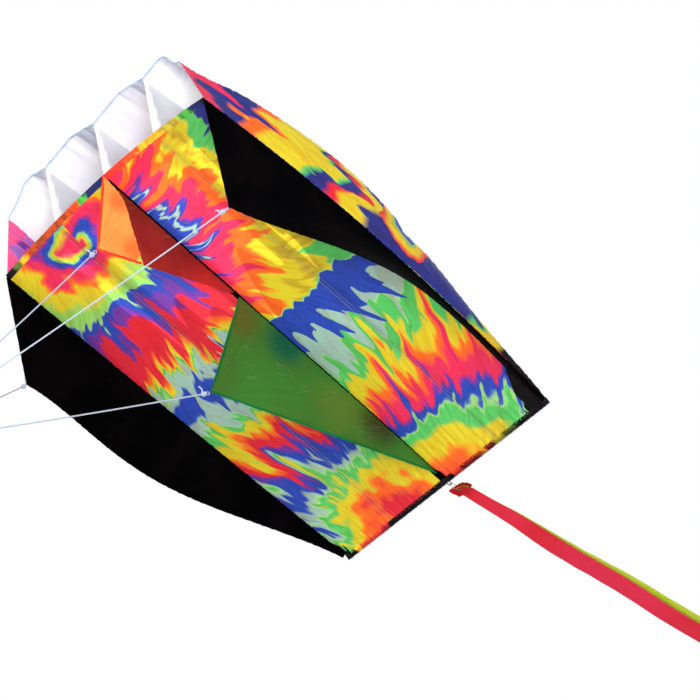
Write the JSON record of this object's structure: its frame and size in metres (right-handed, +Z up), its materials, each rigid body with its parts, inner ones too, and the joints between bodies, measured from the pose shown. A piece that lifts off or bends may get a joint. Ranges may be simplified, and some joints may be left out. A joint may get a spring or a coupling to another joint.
{
  "type": "parafoil kite",
  "caption": "Frameless parafoil kite: open-mouthed cells between two skins, hanging keels, bridle legs to a tow ring, and a ribbon tail on a swivelling tab.",
  "frame": {"origin": "centre of the tow ring, where the flying line is tied, under the canopy", "axes": "+Z up with the kite in its flying attitude, +Y along the chord from the open mouth back to the trailing edge and the tail, +X across the span"},
  "size_m": [0.7328, 1.4228, 0.9119],
  "materials": {
    "white_fabric": "thin white ripstop nylon",
    "tie_dye_fabric": "thin ripstop nylon printed with a many-coloured tie-dye of spirals and bands",
    "dark_hem_fabric": "folded hem, dark print on ripstop nylon",
    "light_blue_fabric": "narrow light blue edge binding",
    "orange_fabric": "thin orange ripstop nylon, lit through",
    "dark_red_fabric": "thin dark red ripstop nylon",
    "bright_red_fabric": "folded hem of bright red-orange nylon",
    "green_fabric": "thin green ripstop nylon with soft blotches",
    "dark_green_fabric": "folded hem of dark green nylon",
    "black_fabric": "matt black ripstop nylon and tape",
    "white_line": "braided white polyester line",
    "steel_wire": "bare steel wire",
    "brass_eyelet": "dull brass eyelet",
    "red_ribbon": "red ripstop ribbon with cut edges",
    "lime_ribbon": "lime ripstop ribbon with cut edges"
  },
  "bodies": {
    "canopy": {"left_outer_top_panel": "white_fabric", "left_inner_top_panel": "white_fabric", "right_inner_top_panel": "white_fabric", "right_outer_top_panel": "white_fabric", "left_bottom_panel": "tie_dye_fabric", "right_bottom_panel": "tie_dye_fabric", "left_end_rib": "tie_dye_fabric", "left_rib": "white_fabric", "centre_rib": "white_fabric", "right_rib": "white_fabric", "right_end_rib": "tie_dye_fabric", "leading_edge_hem": "dark_hem_fabric", "upper_lip_hem": "light_blue_fabric", "trailing_edge_hem": "dark_hem_fabric", "front_keel": "orange_fabric", "front_keel_gore": "dark_red_fabric", "front_keel_hem": "bright_red_fabric", "rear_keel": "green_fabric", "rear_keel_hem": "dark_green_fabric", "left_keel": "black_fabric", "left_keel_hem": "black_fabric", "right_keel": "black_fabric", "right_keel_hem": "black_fabric", "front_apex_loop": "white_line", "rear_apex_loop": "white_line", "left_apex_loop": "white_line", "right_apex_loop": "white_line", "front_bridle_leg": "white_line", "rear_bridle_leg": "white_line", "left_bridle_leg": "white_line", "right_bridle_leg": "white_line", "bridle_knot": "white_line", "tail_loop": "black_fabric"},
    "tow_ring": {"tow_ring": "steel_wire"},
    "tail_link": {"tail_link": "steel_wire"},
    "tail_tab": {"tail_tab": "dark_red_fabric", "tail_eyelet": "brass_eyelet"},
    "red_ribbon": {"red_ribbon": "red_ribbon"},
    "lime_ribbon": {"lime_ribbon": "lime_ribbon"}
  },
  "joints": [
    {"name": "tow_ring_swing", "type": "hinge", "parent": "canopy", "child": "tow_ring", "pos_m": [0, 0, 0.01], "axis": [1, 0, 0], "range_deg": [-80, 80]},
    {"name": "tail_link_swing", "type": "hinge", "parent": "canopy", "child": "tail_link", "pos_m": [0, 0.8339, 0.763], "axis": [1, 0, 0], "range_deg": [-80, 52]},
    {"name": "tail_tab_yaw", "type": "hinge", "parent": "tail_link", "child": "tail_tab", "pos_m": [0, 0.84698, 0.76784], "axis": [0, -0.3469, 0.9379], "range_deg": [-45, 45]},
    {"name": "red_ribbon_flutter", "type": "hinge", "parent": "tail_tab", "child": "red_ribbon", "pos_m": [0, 0.86466, 0.77395], "axis": [1, 0, 0], "range_deg": [-45, 0]},
    {"name": "lime_ribbon_flutter", "type": "hinge", "parent": "tail_tab", "child": "lime_ribbon", "pos_m": [0, 0.86404, 0.77564], "axis": [1, 0, 0], "range_deg": [0, 45]}
  ]
}
